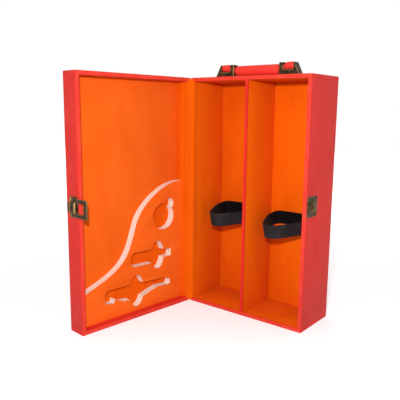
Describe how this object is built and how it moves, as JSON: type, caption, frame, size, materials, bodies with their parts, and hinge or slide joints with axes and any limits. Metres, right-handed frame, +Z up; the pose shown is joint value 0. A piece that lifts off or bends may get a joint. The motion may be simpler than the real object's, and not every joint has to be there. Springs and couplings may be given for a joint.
{
  "type": "wine bottle carrying case",
  "caption": "Upright wine carrying case with a side-hinged lid, bottle bays with straps, a tool panel, a toggle latch and a top handle.",
  "frame": {"origin": "centre of the underside of the base box, on the surface that the case stands on", "axes": "+Z up along the case's height, +X from the hinge side to the latch side of the base, +Y from the open front to the back"},
  "size_m": [0.2545, 0.2848, 0.3685],
  "materials": {
    "red_leatherette": "fine-grained coral red leatherette",
    "orange_velvet": "short-pile orange velvet",
    "fibreboard": "raw fibreboard, hidden",
    "pale_foam": "cut edge of pale foam",
    "black_webbing": "ribbed black elastic webbing",
    "handle_leather": "coral red leatherette over a core",
    "antique_brass": "darkened antique brass, brighter on the edges"
  },
  "bodies": {
    "base": {"base_back_board": "fibreboard", "base_bottom_board": "fibreboard", "base_bottom_cover": "red_leatherette", "base_left_board": "fibreboard", "base_right_board": "fibreboard", "base_top_board": "fibreboard", "base_top_cover": "red_leatherette", "base_wrap_cover": "red_leatherette", "catch_hook": "antique_brass", "catch_nails": "antique_brass", "catch_plate": "antique_brass", "divider_board": "fibreboard", "divider_edging": "red_leatherette", "handle_rivets": "antique_brass", "hinge_lining": "orange_velvet", "hinge_skin": "red_leatherette", "left_bay_back_lining": "orange_velvet", "left_bay_bottom_lining": "orange_velvet", "left_bay_divider_lining": "orange_velvet", "left_bay_top_lining": "orange_velvet", "left_bay_wall_lining": "orange_velvet", "left_bracket": "antique_brass", "left_strap": "black_webbing", "right_bay_back_lining": "orange_velvet", "right_bay_bottom_lining": "orange_velvet", "right_bay_divider_lining": "orange_velvet", "right_bay_top_lining": "orange_velvet", "right_bay_wall_lining": "orange_velvet", "right_bracket": "antique_brass", "right_strap": "black_webbing"},
    "lid": {"latch_nails": "antique_brass", "latch_plate": "antique_brass", "lever_pin": "antique_brass", "lid_bottom_board": "fibreboard", "lid_bottom_cover": "red_leatherette", "lid_bottom_lining": "orange_velvet", "lid_free_board": "fibreboard", "lid_free_lining": "orange_velvet", "lid_front_board": "fibreboard", "lid_front_lining": "orange_velvet", "lid_hinge_board": "fibreboard", "lid_hinge_lining": "orange_velvet", "lid_top_board": "fibreboard", "lid_top_cover": "red_leatherette", "lid_top_lining": "orange_velvet", "lid_wrap_cover": "red_leatherette", "tool_foam": "pale_foam", "tool_velvet": "orange_velvet"},
    "handle_grip": {"handle_grip": "handle_leather"},
    "left_end": {"left_end_roll": "handle_leather", "left_neck": "handle_leather"},
    "right_end": {"right_end_roll": "handle_leather", "right_neck": "handle_leather"},
    "latch_lever": {"latch_lever": "antique_brass"},
    "loop_pin": {"loop_pin": "antique_brass"},
    "latch_loop": {"latch_loop": "antique_brass"}
  },
  "joints": [
    {"name": "lid_hinge", "type": "hinge", "parent": "base", "child": "lid", "pos_m": [-0.1, -0.04, 0], "axis": [0, 0, 1], "range_deg": [-80, 95.65], "deforming": ["hinge_skin", "hinge_lining"]},
    {"name": "handle_lift", "type": "slide", "parent": "base", "child": "handle_grip", "axis": [0, 0, 1], "range_m": [0, 0.0136]},
    {"name": "left_end_slide", "type": "slide", "parent": "handle_grip", "child": "left_end", "axis": [0.1878, 0, -0.9822], "range_m": [0, 0.01385], "deforming": ["left_neck"]},
    {"name": "right_end_slide", "type": "slide", "parent": "handle_grip", "child": "right_end", "axis": [-0.1878, 0, -0.9822], "range_m": [0, 0.01385], "deforming": ["right_neck"]},
    {"name": "latch_lever", "type": "hinge", "parent": "lid", "child": "latch_lever", "pos_m": [-0.12596, -0.24147, 0.176], "axis": [0, 0, 1], "range_deg": [0, 150]},
    {"name": "loop_pin_turn", "type": "hinge", "parent": "latch_lever", "child": "loop_pin", "pos_m": [-0.13489, -0.24034, 0.176], "axis": [0, 0, 1], "range_deg": [-150, 0]},
    {"name": "latch_loop", "type": "hinge", "parent": "loop_pin", "child": "latch_loop", "pos_m": [-0.13489, -0.24034, 0.176], "axis": [0, 0, 1], "range_deg": [-100, 0]}
  ],
  "couplings": [
    {"joint": "left_end_slide", "follows": "handle_lift", "ratio": 1.0181},
    {"joint": "right_end_slide", "follows": "handle_lift", "ratio": 1.0181},
    {"joint": "loop_pin_turn", "follows": "latch_lever", "ratio": -1}
  ]
}
